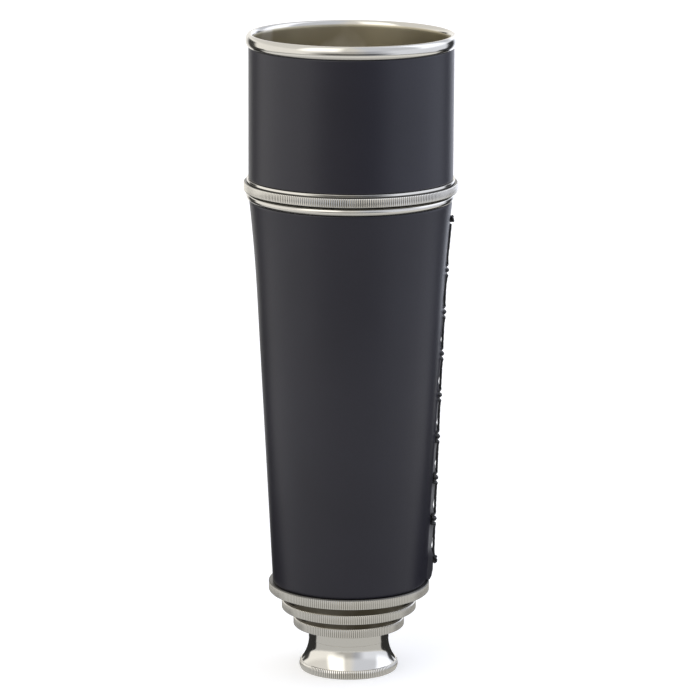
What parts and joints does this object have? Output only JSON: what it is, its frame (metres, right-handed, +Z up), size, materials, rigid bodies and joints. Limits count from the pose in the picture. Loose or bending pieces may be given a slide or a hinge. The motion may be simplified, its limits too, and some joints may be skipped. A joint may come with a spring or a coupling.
{
  "type": "drinking flask",
  "caption": "Round leather-covered drinking flask like a closed spyglass, with a screw-on beaker on top, a laced seam, knurled metal rings and two cups nested in its foot.",
  "frame": {"origin": "centre of the flat face that the flask stands on", "axes": "+Z up along the axis, towards the beaker's rim; +X towards the barrel's laced seam; +Y towards the beaker's stitched seam"},
  "size_m": [0.0688, 0.0688, 0.21],
  "materials": {
    "polished_metal": "polished",
    "knurled_metal": "knurled, polished crests",
    "inner_metal": "brushed",
    "cover_leather": "smooth satin",
    "waxed_cord": "waxed",
    "soft_ring": "matt"
  },
  "bodies": {
    "inner_cup": {"eyepiece_foot": "polished_metal", "eyepiece_plate": "inner_metal", "inner_cup_collar": "knurled_metal", "inner_cup": "polished_metal"},
    "outer_cup": {"outer_cup_collar": "knurled_metal", "inner_cup_grip": "soft_ring", "outer_cup": "polished_metal"},
    "barrel": {"barrel_end_ring": "knurled_metal", "outer_cup_grip": "soft_ring", "cup_well": "inner_metal", "barrel_shell": "polished_metal", "shoulder_plate": "inner_metal", "flask_neck": "inner_metal", "barrel_leather": "cover_leather", "barrel_lacing": "waxed_cord"},
    "washer": {"sealing_washer": "soft_ring"},
    "beaker": {"screw_socket": "inner_metal", "beaker_base_plate": "inner_metal", "beaker_base_ring": "knurled_metal", "beaker_liner": "polished_metal", "beaker_leather": "cover_leather", "beaker_stitching": "waxed_cord"}
  },
  "joints": [
    {"name": "outer_cup_slide", "type": "slide", "parent": "inner_cup", "child": "outer_cup", "axis": [0, 0, 1], "range_m": [0, 0.05]},
    {"name": "barrel_slide", "type": "slide", "parent": "outer_cup", "child": "barrel", "axis": [0, 0, 1], "range_m": [0, 0.045]},
    {"name": "beaker_turn", "type": "hinge", "parent": "barrel", "child": "washer", "pos_m": [0, 0, 0.1575], "axis": [0, 0, 1], "range_deg": [0, 540]},
    {"name": "beaker_rise", "type": "slide", "parent": "washer", "child": "beaker", "axis": [0, 0, 1], "range_m": [0, 0.00375]}
  ],
  "couplings": [
    {"joint": "beaker_rise", "follows": "beaker_turn", "m_per_rad": 0.00039789}
  ]
}
